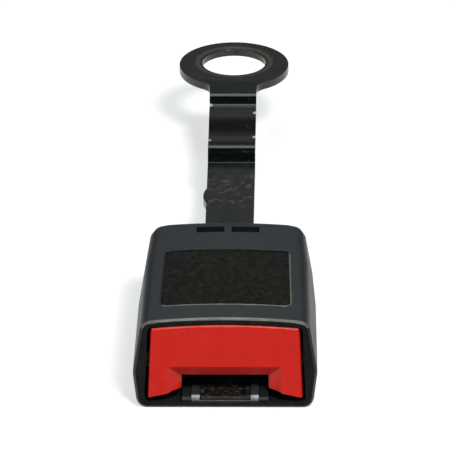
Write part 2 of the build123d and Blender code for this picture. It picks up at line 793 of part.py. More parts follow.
latch_rear_half_width = wall_inner - latch_side_gap
with BuildPart() as latch_plate:
    with BuildSketch(latch_plane):
        with BuildLine():
            Polyline(
                from_pivot(nose_rear_at, latch_bottom),
                from_pivot(nose_front_at, latch_bottom),
                from_pivot(nose_front_at, latch_top),
                ramp_high,
                ramp_low,
                (0, low_line),
                from_pivot(pivot_at, latch_bottom),
                close=True,
            )
        make_face()
    extrude(amount=latch_half_width, both=True)
    with BuildSketch(latch_plane):
        with BuildLine():
            Polyline(
                from_pivot(nose_front_at, latch_bottom),
                from_pivot(nose_front_at + nose_slant, nose_bottom),
                from_pivot(nose_rear_at, nose_bottom),
                from_pivot(nose_rear_at, latch_bottom),
                from_pivot(nose_rear_at, latch_low_top),
                from_pivot(nose_front_at, latch_low_top),
                close=True,
            )
        make_face()
    extrude(amount=nose_half_width, both=True)
    with BuildSketch(latch_plane):
        under_line = latch_bottom - pivot_height
        with BuildLine():
            Polyline(
                (-crossbar_reach, under_line),
                (-crossbar_reach, low_line),
                (0, low_line),
                (0, under_line),
                close=True,
            )
        make_face()
    extrude(amount=latch_rear_half_width, both=True)
    for side in (-1, 1):
        with BuildSketch(latch_plane.offset(side * latch_rear_half_width)):
            Circle(latch_boss_radius)
        extrude(amount=-side * latch_boss_length)
    cross_bar(pivot_at, pivot_height, pivot_radius, latch_rear_half_width, mode=Mode.SUBTRACT)
finish(latch_plate.part, "latch_plate")

with BuildPart() as latch_pivot_pin:
    cross_bar(pivot_at, pivot_height, pivot_radius, frame_half_width)
    chamfer(latch_pivot_pin.edges().filter_by(GeomType.CIRCLE), edge_break)
finish(latch_pivot_pin.part, "latch_pivot_pin")

with BuildPart() as lock_pin:
    cross_bar(lock_pin_at, lock_pin_height, lock_pin_radius, lock_pin_half_length)
    chamfer(lock_pin.edges().filter_by(GeomType.CIRCLE), edge_break)
finish(lock_pin.part, "lock_pin")

# Springs
pin_rear_at = lock_pin_at + lock_pin_radius
ejector_spring = coil_spring(
    0, ejector_spring_height, block_rear_at, seat_face_at, ejector_coil_radius, ejector_spring_turns
)
finish(ejector_spring, "ejector_spring")
for side, hand in ((-1, "left"), (1, "right")):
    middle = side * arm_middle
    button_spring = coil_spring(
        middle, lock_pin_height, arm_rear_at, spring_stop_at, button_coil_radius, button_spring_turns
    )
    finish(button_spring, f"button_spring_{hand}")
    pin_spring = coil_spring(
        middle, lock_pin_height, pin_rear_at, pin_slot_rear, pin_coil_radius, pin_spring_turns
    )
    finish(pin_spring, f"pin_spring_{hand}")
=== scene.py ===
import json
import math

import bmesh
import bpy
from mathutils import Matrix, Vector


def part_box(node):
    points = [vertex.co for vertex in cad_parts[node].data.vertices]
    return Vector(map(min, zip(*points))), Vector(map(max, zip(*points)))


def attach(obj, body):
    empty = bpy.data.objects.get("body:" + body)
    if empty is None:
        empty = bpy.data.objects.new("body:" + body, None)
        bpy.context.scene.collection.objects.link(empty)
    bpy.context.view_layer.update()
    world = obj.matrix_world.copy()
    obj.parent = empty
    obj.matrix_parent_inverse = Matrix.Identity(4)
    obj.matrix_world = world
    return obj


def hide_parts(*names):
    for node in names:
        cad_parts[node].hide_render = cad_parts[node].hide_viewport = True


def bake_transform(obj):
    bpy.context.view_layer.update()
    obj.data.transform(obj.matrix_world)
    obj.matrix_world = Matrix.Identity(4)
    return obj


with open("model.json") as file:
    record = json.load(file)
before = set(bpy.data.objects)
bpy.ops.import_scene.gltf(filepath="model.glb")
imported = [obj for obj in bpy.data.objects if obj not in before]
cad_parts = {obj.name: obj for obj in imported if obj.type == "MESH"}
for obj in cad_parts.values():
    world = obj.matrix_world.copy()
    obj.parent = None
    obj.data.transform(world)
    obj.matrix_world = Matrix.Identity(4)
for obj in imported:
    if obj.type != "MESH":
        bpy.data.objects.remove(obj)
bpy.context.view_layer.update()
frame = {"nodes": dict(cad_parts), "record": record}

# Seat belt buckle on a cranked steel strap. X runs across it, Y from its button to its anchor ring, Z up.
# Lengths are millimetres until they are multiplied by MM, which makes them metres.
MM = 0.001
BLACK = "#000000"
WHITE = "#FFFFFF"

node_slots = {entry["node"]: entry["material_slot"] for entry in frame["record"]["subparts"]}
behaviour = frame["record"]["behaviour"]
node_bodies = {node: body for body, nodes in behaviour["bodies"].items() for node in nodes}
mounts = {mount["name"]: mount for mount in frame["record"]["mounts"]}
RING_HOLE = Vector(mounts["ring_hole"]["pos_m"])


# ---------------------------------------------------------------- small helpers

def linear(hex_colour):
    """Linear colour from an sRGB hex value."""
    parts = [int(hex_colour[i:i + 2], 16) / 255 for i in (1, 3, 5)]
    bent = [p / 12.92 if p <= 0.04045 else ((p + 0.055) / 1.055) ** 2.4 for p in parts]
    return (*bent, 1.0)


def add(tree, kind, settings=None, stops=None, **inputs):
    """Add one node, set its properties and colour stops, and fill or link its inputs.

    An input goes by its name, or by its number as in _0. A stop is a position and an sRGB hex value.
    """
    made = tree.nodes.new(kind)
    for name, value in (settings or {}).items():
        setattr(made, name, value)
    if stops is not None:
        elements = made.color_ramp.elements
        for element, (position, hex_colour) in ((elements[0], stops[0]), (elements[-1], stops[-1])):
            element.position = position
            element.color = linear(hex_colour)
        for position, hex_colour in stops[1:-1]:
            elements.new(position).color = linear(hex_colour)
    for name, value in inputs.items():
        numbered = name[0] == "_" and name[1:].isdigit()
        socket = made.inputs[int(name[1:])] if numbered else made.inputs[name.replace("_", " ")]
        if isinstance(value, bpy.types.NodeSocket):
            tree.links.new(value, socket)
        else:
            socket.default_value = value
    return made


def new_material(name):
    """Empty node material with the object's own coordinates."""
    material = bpy.data.materials.new(name)
    material.use_nodes = True
    tree = material.node_tree
    tree.nodes.clear()
    coordinates = add(tree, "ShaderNodeTexCoord").outputs["Object"]
    return material, tree, coordinates


def finish_material(tree, shader):
    """Send a shader to the surface."""
    add(tree, "ShaderNodeOutputMaterial", Surface=shader.outputs[0])


def per_mm(size_mm):
    """Texture scale whose features are about the given size, on coordinates in metres."""
    return 1 / (size_mm * MM)


# ---------------------------------------------------------------- materials

ABS_IOR = 1.53
EPOXY_IOR = 1.55


def moulded_black_abs():
    """Moulded ABS with a spark-eroded texture: an even matt grain, a little smoother in patches."""
    material, tree, place = new_material("moulded_black_ABS")
    # Drawn coarser than the real grain, so that it shows
    grain = add(tree, "ShaderNodeTexNoise", Vector=place, Scale=per_mm(0.5), Detail=3.0, Roughness=0.6)
    cloud = add(tree, "ShaderNodeTexNoise", Vector=place, Scale=per_mm(16), Detail=2.0)
    colour = add(tree, "ShaderNodeValToRGB", stops=[(0.3, "#121617"), (0.7, "#181D1D")],
                 Fac=cloud.outputs["Fac"]).outputs["Color"]
    rough = add(tree, "ShaderNodeMapRange", Value=cloud.outputs["Fac"], To_Min=0.46, To_Max=0.58)
    bump = add(tree, "ShaderNodeBump", Strength=0.35, Distance=0.1 * MM, Height=grain.outputs["Fac"])
    shader = add(tree, "ShaderNodeBsdfPrincipled", Base_Color=colour, Roughness=rough.outputs[0],
                 Normal=bump.outputs[0], IOR=ABS_IOR)
    finish_material(tree, shader)
    return material


def rubbed_black_abs():
    """The same ABS on broken edges, where hands have rubbed the grain off: smoother and a little greyer."""
    material, tree, place = new_material("rubbed_black_ABS")
    streak = add(tree, "ShaderNodeTexNoise", Vector=place, Scale=per_mm(5), Detail=4.0, Roughness=0.6)
    colour = add(tree, "ShaderNodeValToRGB", stops=[(0.3, "#1C1F1F"), (0.7, "#2A2C2A")],
                 Fac=streak.outputs["Fac"]).outputs["Color"]
    rough = add(tree, "ShaderNodeMapRange", Value=streak.outputs["Fac"], To_Min=0.26, To_Max=0.40)
    shader = add(tree, "ShaderNodeBsdfPrincipled", Base_Color=colour, Roughness=rough.outputs[0],
                 IOR=ABS_IOR)
    finish_material(tree, shader)
    return material


def shaded_rim_abs():
    """ABS on the front rim, polished by the belt's tongue: without its grain and smoother, and painted
    darker as shade.
    """
    material, tree, place = new_material("front_rim_shaded_ABS")
    haze = add(tree, "ShaderNodeTexNoise", Vector=place, Scale=per_mm(4), Detail=4.0, Roughness=0.6)
    colour = add(tree, "ShaderNodeValToRGB", stops=[(0.3, "#101313"), (0.7, "#191C1C")],
                 Fac=haze.outputs["Fac"]).outputs["Color"]
    rough = add(tree, "ShaderNodeMapRange", Value=haze.outputs["Fac"], To_Min=0.18, To_Max=0.28)
    shader = add(tree, "ShaderNodeBsdfPrincipled", Base_Color=colour, Roughness=rough.outputs[0],
                 IOR=ABS_IOR)
    finish_material(tree, shader)
    return material


def lip_highlight_abs():
    """ABS on the lip over the slot, polished by the belt's tongue, and painted light grey as a highlight."""
    material, tree, place = new_material("lip_painted_highlight_ABS")
    knock = add(tree, "ShaderNodeTexNoise", Vector=place, Scale=per_mm(3), Detail=5.0, Roughness=0.7)
    colour = add(tree, "ShaderNodeValToRGB", stops=[(0.3, "#545249"), (0.7, "#868178")],
                 Fac=knock.outputs["Fac"]).outputs["Color"]
    rough = add(tree, "ShaderNodeMapRange", Value=knock.outputs["Fac"], To_Min=0.25, To_Max=0.40)
    shader = add(tree, "ShaderNodeBsdfPrincipled", Base_Color=colour, Roughness=rough.outputs[0],
                 IOR=ABS_IOR)
    finish_material(tree, shader)
    return material


def satin_red_abs():
    """Red ABS, moulded with a satin face: even colour with a faint mottle and a soft sheen."""
    material, tree, place = new_material("satin_red_ABS")
    mottle = add(tree, "ShaderNodeTexNoise", Vector=place, Scale=per_mm(2.6), Detail=4.0, Roughness=0.7)
    colour = add(tree, "ShaderNodeValToRGB", stops=[(0.3, "#D41608"), (0.7, "#E21D0B")],
                 Fac=mottle.outputs["Fac"]).outputs["Color"]
    # Drawn coarser than the real grain, so that it shows
    grain = add(tree, "ShaderNodeTexNoise", Vector=place, Scale=per_mm(0.5), Detail=2.0)
    bump = add(tree, "ShaderNodeBump", Strength=0.2, Distance=0.1 * MM, Height=grain.outputs["Fac"])
    shader = add(tree, "ShaderNodeBsdfPrincipled", Base_Color=colour, Roughness=0.42,
                 Normal=bump.outputs[0], IOR=ABS_IOR)
    finish_material(tree, shader)
    return material


def highlit_red_abs():
    """The button's edges, polished by thumbs: smoother, and painted lighter red as a highlight."""
    material, tree, place = new_material("red_ABS_painted_highlight")
    streak = add(tree, "ShaderNodeTexNoise", Vector=place, Scale=per_mm(4), Detail=3.0)
    colour = add(tree, "ShaderNodeValToRGB", stops=[(0.3, "#EE4A3A"), (0.7, "#FF6C5A")],
                 Fac=streak.outputs["Fac"]).outputs["Color"]
    shader = add(tree, "ShaderNodeBsdfPrincipled", Base_Color=colour, Roughness=0.28, IOR=ABS_IOR)
    finish_material(tree, shader)
    return material


# Stretch of the strap behind the housing that rubs against the seat: Y of its ends, and how far it fades
SCUFFS_FRONT = 2.0
SCUFFS_REAR = 26.0
SCUFFS_FADE = 3.0
SCUFFED = "#4B4B42"
# The strap's crank, from the foot of its front riser to the ring's neck, and the bends of its trough: Y
CRANK = (31.0, 79.0)
TROUGH_BENDS = [(40.3, 44.0), (57.0, 61.0)]
BEND_FADE = 1.5
# Painted shade: near black over the crank
CRANK_PAINTED_SHADE = "#030404"
# Painted sheen: lighter brown on the bends of the trough
TROUGH_PAINTED_SHEEN = "#262219"
# Points on the crank's edges that carry painted glints, and radii of a glint and its fade
EDGE_GLINTS = [(-7.2, 65.0, 17.8), (-7.2, 41.1, 16.6), (7.2, 59.5, 17.6), (7.2, 43.8, 16.5)]
GLINT_RADIUS = 0.6
GLINT_FADE = 1.1
GLINT_PAINT = "#C4C8C6"
# Inner and outer radius of a lighter brown ring round the ring's hole, and its colour
HOLE_RING_RADII = (10.5, 12.6)
HOLE_RING_BROWN = "#4A3F33"


def crank_share(y):
    """Place along the crank, from 0 at its front to 1 at its rear."""
    return (y - CRANK[0]) / (CRANK[1] - CRANK[0])


def edge_glints(tree, place):
    """Mask of the painted glints on the crank's edges."""
    mask = 0.0
    for corner in EDGE_GLINTS:
        spot = tuple(length * MM for length in corner)
        away = add(tree, "ShaderNodeVectorMath", {"operation": "DISTANCE"}, _0=place, _1=spot)
        glint = add(tree, "ShaderNodeMapRange", Value=away.outputs["Value"], From_Min=GLINT_FADE * MM,
                   From_Max=GLINT_RADIUS * MM)
        mask = add(tree, "ShaderNodeMath", {"operation": "MAXIMUM"}, _0=mask, _1=glint.outputs[0]).outputs[0]
    return mask


def hole_ring_mask(tree, place):
    """Mask of a lighter brown ring round the ring's hole, on its coined face."""
    across = add(tree, "ShaderNodeVectorMath", {"operation": "MULTIPLY"}, _0=place, _1=(1, 1, 0))
    radius = add(tree, "ShaderNodeVectorMath", {"operation": "DISTANCE"}, _0=across.outputs[0],
                 _1=(RING_HOLE.x, RING_HOLE.y, 0))
    share = add(tree, "ShaderNodeMapRange", Value=radius.outputs["Value"], From_Min=HOLE_RING_RADII[0] * MM,
                From_Max=HOLE_RING_RADII[1] * MM)
    ring = add(tree, "ShaderNodeValToRGB", stops=[(0.0, BLACK), (0.3, WHITE), (0.6, WHITE), (1.0, BLACK)],
               Fac=share.outputs[0])
    return ring.outputs["Color"]


def layered(tree, coat, layers):
    """Colour of a coat with other colours laid over it, each where its mask is white."""
    for mask, hex_colour in layers:
        laid = add(tree, "ShaderNodeMix", {"data_type": "RGBA"}, _0=mask, _6=coat, _7=linear(hex_colour))
        coat = laid.outputs[2]
    return coat


def e_coated_steel():
    """Stamped steel under black electrocoat: glossy and mottled, with grey scuffs.

    The crank is painted near black as shade, and the bends of its trough a lighter brown as a painted sheen.
    """
    material, tree, place = new_material("black_e_coated_steel")
    blotch = add(tree, "ShaderNodeTexNoise", Vector=place, Scale=per_mm(5), Detail=4.0, Roughness=0.65)
    coat = add(tree, "ShaderNodeValToRGB", stops=[(0.35, "#101511"), (0.65, "#191E18")],
               Fac=blotch.outputs["Fac"]).outputs["Color"]
    scuff = add(tree, "ShaderNodeTexNoise", Vector=place, Scale=per_mm(1.5), Detail=5.0, Roughness=0.75)
    worn = add(tree, "ShaderNodeValToRGB", stops=[(0.60, BLACK), (0.72, WHITE)],
               Fac=scuff.outputs["Fac"]).outputs["Color"]
    where = add(tree, "ShaderNodeSeparateXYZ", Vector=place)
    along = add(tree, "ShaderNodeMapRange", Value=where.outputs["Y"], From_Min=CRANK[0] * MM,
                From_Max=CRANK[1] * MM)
    # Painted shade over the crank, fading in at its ends
    crank_shade_mask = add(tree, "ShaderNodeValToRGB",
                    stops=[(0.0, BLACK), (0.04, WHITE), (0.96, WHITE), (1.0, BLACK)],
                    Fac=along.outputs[0]).outputs["Color"]
    # Painted sheen on the bends of the trough
    stops = []
    for front, rear in TROUGH_BENDS:
        stops += [(crank_share(front - BEND_FADE), BLACK), (crank_share(front), WHITE)]
        stops += [(crank_share(rear), WHITE), (crank_share(rear + BEND_FADE), BLACK)]
    trough_sheen_mask = add(tree, "ShaderNodeValToRGB", stops=stops, Fac=along.outputs[0]).outputs["Color"]
    rear_fade = add(tree, "ShaderNodeMapRange", Value=where.outputs["Y"],
                    From_Min=(SCUFFS_REAR + SCUFFS_FADE) * MM, From_Max=SCUFFS_REAR * MM)
    front_fade = add(tree, "ShaderNodeMapRange", Value=where.outputs["Y"],
                     From_Min=(SCUFFS_FRONT - SCUFFS_FADE) * MM, From_Max=SCUFFS_FRONT * MM)
    stretch = add(tree, "ShaderNodeMath", {"operation": "MULTIPLY"}, _0=rear_fade.outputs[0],
                  _1=front_fade.outputs[0])
    chafe = add(tree, "ShaderNodeTexNoise", Vector=place, Scale=per_mm(2.8), Detail=4.0, Roughness=0.7)
    chafed = add(tree, "ShaderNodeValToRGB", stops=[(0.54, BLACK), (0.66, WHITE)],
                 Fac=chafe.outputs["Fac"]).outputs["Color"]
    chafed = add(tree, "ShaderNodeMath", {"operation": "MULTIPLY"}, _0=chafed, _1=stretch.outputs[0])
    bare = add(tree, "ShaderNodeMath", {"operation": "MAXIMUM"}, _0=worn, _1=chafed.outputs[0])
    colour = layered(tree, coat, [
        (crank_shade_mask, CRANK_PAINTED_SHADE),
        (trough_sheen_mask, TROUGH_PAINTED_SHEEN),
        (hole_ring_mask(tree, place), HOLE_RING_BROWN),
        (bare.outputs[0], SCUFFED),
        (edge_glints(tree, place), GLINT_PAINT),
    ])
    worn_rough = add(tree, "ShaderNodeMapRange", Value=blotch.outputs["Fac"], To_Min=0.18, To_Max=0.30)
    kept_smooth = add(tree, "ShaderNodeMapRange", Value=crank_shade_mask, To_Min=1.0, To_Max=0.45)
    rough = add(tree, "ShaderNodeMath", {"operation": "MULTIPLY"}, _0=worn_rough.outputs[0],
                _1=kept_smooth.outputs[0])
    orange_peel = add(tree, "ShaderNodeTexNoise", Vector=place, Scale=per_mm(0.9), Detail=2.0)
    bump = add(tree, "ShaderNodeBump", Strength=0.15, Distance=0.1 * MM, Height=orange_peel.outputs["Fac"])
    shader = add(tree, "ShaderNodeBsdfPrincipled", Base_Color=colour, Roughness=rough.outputs[0],
                 Normal=bump.outputs[0], IOR=EPOXY_IOR)
    finish_material(tree, shader)
    return material


def rubbed_e_coat():
    """Electrocoat on the strap's edges, thinned and polished by handling: glossier, with painted glints on
    the crank's edges.
    """
    material, tree, place = new_material("rubbed_e_coat")
    streak = add(tree, "ShaderNodeTexNoise", Vector=place, Scale=per_mm(3), Detail=4.0, Roughness=0.7)
    coat = add(tree, "ShaderNodeValToRGB", stops=[(0.35, "#101312"), (0.65, "#1E201E")],
               Fac=streak.outputs["Fac"]).outputs["Color"]
    colour = layered(tree, coat, [(hole_ring_mask(tree, place), HOLE_RING_BROWN), (edge_glints(tree, place), GLINT_PAINT)])
    shader = add(tree, "ShaderNodeBsdfPrincipled", Base_Color=colour, Roughness=0.16, IOR=EPOXY_IOR)
    finish_material(tree, shader)
    return material


def zinc_plated_steel():
    """Pressed steel with zinc plating: pale grey, dulled in patches."""
    material, tree, place = new_material("zinc_plated_steel")
    dulled = add(tree, "ShaderNodeTexNoise", Vector=place, Scale=per_mm(1.2), Detail=4.0)
    colour = add(tree, "ShaderNodeValToRGB", stops=[(0.3, "#717275"), (0.7, "#939497")],
                 Fac=dulled.outputs["Fac"]).outputs["Color"]
    rough = add(tree, "ShaderNodeMapRange", Value=dulled.outputs["Fac"], To_Min=0.30, To_Max=0.46)
    shader = add(tree, "ShaderNodeBsdfPrincipled", Base_Color=colour, Metallic=0.9,
                 Roughness=rough.outputs[0])
    finish_material(tree, shader)
    return material


def drawn_spring_steel():
    """Drawn and hardened steel: darker than zinc, smooth and bright."""
    material, tree, place = new_material("drawn_spring_steel")
    tone = add(tree, "ShaderNodeTexNoise", Vector=place, Scale=per_mm(3), Detail=2.0)
    colour = add(tree, "ShaderNodeValToRGB", stops=[(0.3, "#6E6F72"), (0.7, "#8B8C8F")],
                 Fac=tone.outputs["Fac"]).outputs["Color"]
    shader = add(tree, "ShaderNodeBsdfPrincipled", Base_Color=colour, Metallic=1.0, Roughness=0.26)
    finish_material(tree, shader)
    return material


def moulded_black_acetal():
    """Moulded acetal: smooth, waxy black with faint rub marks."""
    material, tree, place = new_material("moulded_black_acetal")
    rub = add(tree, "ShaderNodeTexNoise", Vector=place, Scale=per_mm(1.5), Detail=5.0, Roughness=0.7)
    colour = add(tree, "ShaderNodeValToRGB", stops=[(0.50, "#0A0B0B"), (0.66, "#544A3D")],
                 Fac=rub.outputs["Fac"]).outputs["Color"]
    shader = add(tree, "ShaderNodeBsdfPrincipled", Base_Color=colour, Roughness=0.38, IOR=1.48)
    finish_material(tree, shader)
    return material


def needled_felt():
    """Needle-punched felt: dull charcoal with a matted surface."""
    material, tree, place = new_material("needled_felt")
    matted = add(tree, "ShaderNodeTexNoise", Vector=place, Scale=per_mm(0.4), Detail=5.0)
    colour = add(tree, "ShaderNodeValToRGB", stops=[(0.3, "#1C1C1C"), (0.7, "#343434")],
                 Fac=matted.outputs["Fac"]).outputs["Color"]
    bump = add(tree, "ShaderNodeBump", Strength=0.6, Distance=0.3 * MM, Height=matted.outputs["Fac"])
    shader = add(tree, "ShaderNodeBsdfPrincipled", Base_Color=colour, Roughness=0.95, Normal=bump.outputs[0])
    finish_material(tree, shader)
    return material


def moulded_black_rubber():
    """Moulded black rubber: matt, with a faint bloom."""
    material, tree, place = new_material("moulded_black_rubber")
    bloom = add(tree, "ShaderNodeTexNoise", Vector=place, Scale=per_mm(2), Detail=3.0)
    colour = add(tree, "ShaderNodeValToRGB", stops=[(0.3, "#141414"), (0.8, "#222222")],
                 Fac=bloom.outputs["Fac"]).outputs["Color"]
    shader = add(tree, "ShaderNodeBsdfPrincipled", Base_Color=colour, Roughness=0.8, IOR=1.52)
    finish_material(tree, shader)
    return material


def velour_backing():
    """Woven backing under the pile, almost black."""
    material, tree, place = new_material("velour_backing")
    tone = add(tree, "ShaderNodeTexNoise", Vector=place, Scale=per_mm(1.4), Detail=4.0)
    colour = add(tree, "ShaderNodeValToRGB", stops=[(0.3, "#0A0B08"), (0.7, "#161811")],
                 Fac=tone.outputs["Fac"]).outputs["Color"]
    shader = add(tree, "ShaderNodeBsdfPrincipled", Base_Color=colour, Roughness=1.0)
    finish_material(tree, shader)
    return material


def polyester_pile():
    """Short polyester pile: black fibres that catch the light at their tips, trodden into patches."""
    material, tree, place = new_material("polyester_pile")
    patch = add(tree, "ShaderNodeTexNoise", Vector=place, Scale=per_mm(2.1), Detail=4.0, Roughness=0.7)
    colour = add(tree, "ShaderNodeValToRGB", stops=[(0.46, "#010201"), (0.60, "#34301F")],
                 Fac=patch.outputs["Fac"]).outputs["Color"]
    shader = add(tree, "ShaderNodeBsdfPrincipled", Base_Color=colour, Roughness=0.8, Sheen_Weight=0.08)
    finish_material(tree, shader)
    return material


FINISHES = {
    "cover_plastic": moulded_black_abs(),
    "velour": velour_backing(),
    "button_plastic": satin_red_abs(),
    "coated_steel": e_coated_steel(),
    "zinc_steel": zinc_plated_steel(),
    "spring_steel": drawn_spring_steel(),
    "guide_plastic": moulded_black_acetal(),
    "felt": needled_felt(),
    "rubber": moulded_black_rubber(),
}
# Finishes of broken edges: worn, and on the button painted lighter red as a highlight
WORN_AND_HIGHLIT_EDGES = {
    "cover_plastic": rubbed_black_abs(),
    "button_plastic": highlit_red_abs(),
    "coated_steel": rubbed_e_coat(),
}
PILE = polyester_pile()
LIP_HIGHLIGHT_PAINT = lip_highlight_abs()
FRONT_RIM_SHADED = shaded_rim_abs()


# ---------------------------------------------------------------- finished copies of the rigid nodes

# Widths of the broken edges, and the angles in degrees above which an edge is broken
COVER_EDGE = 0.16
RECESS_EDGE = 0.38
BUTTON_EDGE = 0.30
STRAP_EDGE = 0.22
COIN_EDGE = 0.45
WORKS_EDGE = 0.10
STRIP_EDGE = 0.20
PAD_EDGE = 0.30
SHARP = 32
BUTTON_SHARP = 24
# Points closer than WELD become one, and faces that meet at less than FLAT degrees are joined
WELD = 0.002 * MM
FLAT = 0.4
# A point this near to a plane lies on it
LEVEL = 0.05 * MM
# Material slots of a finished copy. KEEP_SLOT leaves a face as it is, and the last two are the covers' own
KEEP_SLOT = -1
WORN_AND_HIGHLIT_SLOT = 1
# Slot of the chamfer over the tongue's slot, with a painted highlight
LIP_HIGHLIGHT_SLOT = 2
# Slot of the front rim, painted darker as shade
RIM_SHADE_SLOT = 3
# Rear end of the covers' lip, and the parts of a face's normal that tell its rim from the chamfer round it
LIP_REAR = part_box("upper_cover")[0][1] + 12 * MM
RIM_FORWARD = 0.9
CHAMFER_FORWARD = 0.25
CHAMFER_UPWARD = -0.1
OVER_SLOT_UPWARD = 0.5
# Red cap of the button: where its top edge starts, and the parts of a normal that tell the rounding there
CAP_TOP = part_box("release_button")[1][2] - 3 * MM
CAP_ROUNDING = (0.40, 0.97)
CAP_FORWARD = 0.2
# Lean of the cap's face in degrees, and the cap's depth, below which the button is painted black as shade
CAP_LEAN = 17.7
CAP_DEPTH = 3.15 * MM
# Lift of the strap at distances forward of the ring's rear end
PRESSED_STEPS = [(43.0, 0.0), (51.0, 0.95), (65.0, -0.15), (70.0, -0.1), (74.0, 0.0)]
# Circle of the coined face round the ring's hole, and how near an edge on it lies
COIN_RADIUS = 12.2 * MM
COIN_REACH = 0.3 * MM
# How far the recess's rim may lie outside the pad, and the sharpness of its edges in degrees
RIM_REACH = 0.4 * MM
RIM_SHARP = 50


def merged_copy(node, name):
    """New object with a copy of a node's mesh, its doubles merged and its flat faces joined."""
    mesh = frame["nodes"][node].data.copy()
    work = bmesh.new()
    work.from_mesh(mesh)
    bmesh.ops.remove_doubles(work, verts=work.verts, dist=WELD)
    bmesh.ops.dissolve_limit(work, angle_limit=math.radians(FLAT), verts=work.verts, edges=work.edges)
    work.to_mesh(mesh)
    work.free()
    mesh.materials.clear()
    piece = bpy.data.objects.new(name, mesh)
    bpy.context.scene.collection.objects.link(piece)
    return piece


def stand_for(piece, node):
    """Put a piece in a node's place: its body, and the node hidden."""
    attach(piece, node_bodies[node])
    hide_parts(node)


def bake(piece):
    """Turn a piece's modifiers into plain mesh."""
    evaluated = piece.evaluated_get(bpy.context.evaluated_depsgraph_get())
    mesh = bpy.data.meshes.new_from_object(evaluated)
    piece.modifiers.clear()
    piece.data = mesh


def break_edges(piece, width_mm, segments, sharp_degrees=None, edge_slot=KEEP_SLOT):
    """Bevel modifier on the edges sharper than an angle, or else on the weighted ones."""
    edge = piece.modifiers.new("broken edges", "BEVEL")
    edge.width = width_mm * MM
    edge.segments = segments
    edge.material = edge_slot
    edge.limit_method = "WEIGHT"
    if sharp_degrees is not None:
        edge.limit_method = "ANGLE"
        edge.angle_limit = math.radians(sharp_degrees)


def weigh_edges(piece, chosen):
    """Mark the edges that a test chooses, for a wider bevel of their own."""
    work = bmesh.new()
    work.from_mesh(piece.data)
    weights = work.edges.layers.float.new("bevel_weight_edge")
    for edge in work.edges:
        edge[weights] = float(chosen(edge))
    work.to_mesh(piece.data)
    work.free()


def shade_smooth(piece, sharp_degrees):
    """Smooth faces whose large ones stay flat, with normals weighted by face area."""
    for face in piece.data.polygons:
        face.use_smooth = True
    piece.data.set_sharp_from_angle(angle=math.radians(sharp_degrees))
    weighted = piece.modifiers.new("weighted normals", "WEIGHTED_NORMAL")
    weighted.keep_sharp = True
    weighted.weight = 100


def soften(node, name, width_mm, segments=2, sharp_degrees=SHARP, wide_edges=None, wide_mm=0, reshape=None):
    """Copy of a rigid node with smooth faces and softly broken edges, which take its edge finish where it
    has one: worn, and on the button painted lighter as a highlight.
    """
    piece = merged_copy(node, name)
    if reshape is not None:
        reshape(piece)
    slot = node_slots[node]
    piece.data.materials.append(FINISHES[slot])
    edge_slot = KEEP_SLOT
    if slot in WORN_AND_HIGHLIT_EDGES:
        piece.data.materials.append(WORN_AND_HIGHLIT_EDGES[slot])
        edge_slot = WORN_AND_HIGHLIT_SLOT
    if wide_edges is not None:
        weigh_edges(piece, wide_edges)
        break_edges(piece, wide_mm, segments + 1, None, edge_slot)
        bake(piece)
    break_edges(piece, width_mm, segments, sharp_degrees, edge_slot)
    bake(piece)
    shade_smooth(piece, sharp_degrees)
    bake(piece)
    stand_for(piece, node)
    return piece


def rub_lip_and_paint_light(piece):
    """Paint the front rim darker as shade, rub the chamfer round it, and paint a highlight on that chamfer
    over the tongue's slot.
    """
    piece.data.materials.append(LIP_HIGHLIGHT_PAINT)
    piece.data.materials.append(FRONT_RIM_SHADED)
    for face in piece.data.polygons:
        if face.center.y > LIP_REAR:
            continue
        forward, upward = -face.normal.y, face.normal.z
        if forward > RIM_FORWARD:
            face.material_index = RIM_SHADE_SLOT
        elif forward > CHAMFER_FORWARD and upward > OVER_SLOT_UPWARD:
            face.material_index = LIP_HIGHLIGHT_SLOT
        elif forward > CHAMFER_FORWARD and upward > CHAMFER_UPWARD:
            face.material_index = WORN_AND_HIGHLIT_SLOT


def light_cap_edge(piece):
    """Give the rounded top edge of the button's face its painted highlight."""
    for face in piece.data.polygons:
        rounded = CAP_ROUNDING[0] < face.normal.z < CAP_ROUNDING[1] and face.normal.y < -CAP_FORWARD
        if rounded and face.center.z > CAP_TOP:
            face.material_index = WORN_AND_HIGHLIT_SLOT


def shade_behind_cap(piece):
    """Paint black, as shade, all of the button that lies deeper than its red cap, where it shows through the
    gaps round the cap.
    """
    lean = math.radians(CAP_LEAN)
    outward = Vector((0, -math.cos(lean), math.sin(lean)))
    face_at = max(vert.co.dot(outward) for vert in piece.data.vertices)
    joint = outward * (face_at - CAP_DEPTH)
    work = bmesh.new()
    work.from_mesh(piece.data)
    everything = list(work.verts) + list(work.edges) + list(work.faces)
    bmesh.ops.bisect_plane(work, geom=everything, plane_co=joint, plane_no=outward)
    for face in work.faces:
        if (face.calc_center_median() - joint).dot(outward) < 0:
            face.material_index = len(piece.data.materials)
    work.to_mesh(piece.data)
    work.free()
    piece.data.materials.append(FINISHES["guide_plastic"])


def press_steps(piece):
    """Ease the trough of the strap's crank, as pressing leaves it: cut it across, and lift or lower it."""
    ring_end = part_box("anchor_strap")[1][1]
    first, last = PRESSED_STEPS[0][0], PRESSED_STEPS[-1][0]
    work = bmesh.new()
    work.from_mesh(piece.data)
    for station in range(math.ceil(first), math.floor(last) + 1):
        everything = list(work.verts) + list(work.edges) + list(work.faces)
        bmesh.ops.bisect_plane(work, geom=everything, dist=LEVEL, plane_no=(0, 1, 0),
                               plane_co=(0, ring_end - station * MM, 0))
    for vert in work.verts:
        reach = (ring_end - vert.co.y) / MM
        for (near, near_lift), (far, far_lift) in zip(PRESSED_STEPS, PRESSED_STEPS[1:]):
            if near <= reach < far:
                share = (reach - near) / (far - near)
                smooth = share * share * (3 - 2 * share)
                vert.co.z += (near_lift + (far_lift - near_lift) * smooth) * MM
    work.to_mesh(piece.data)
    work.free()


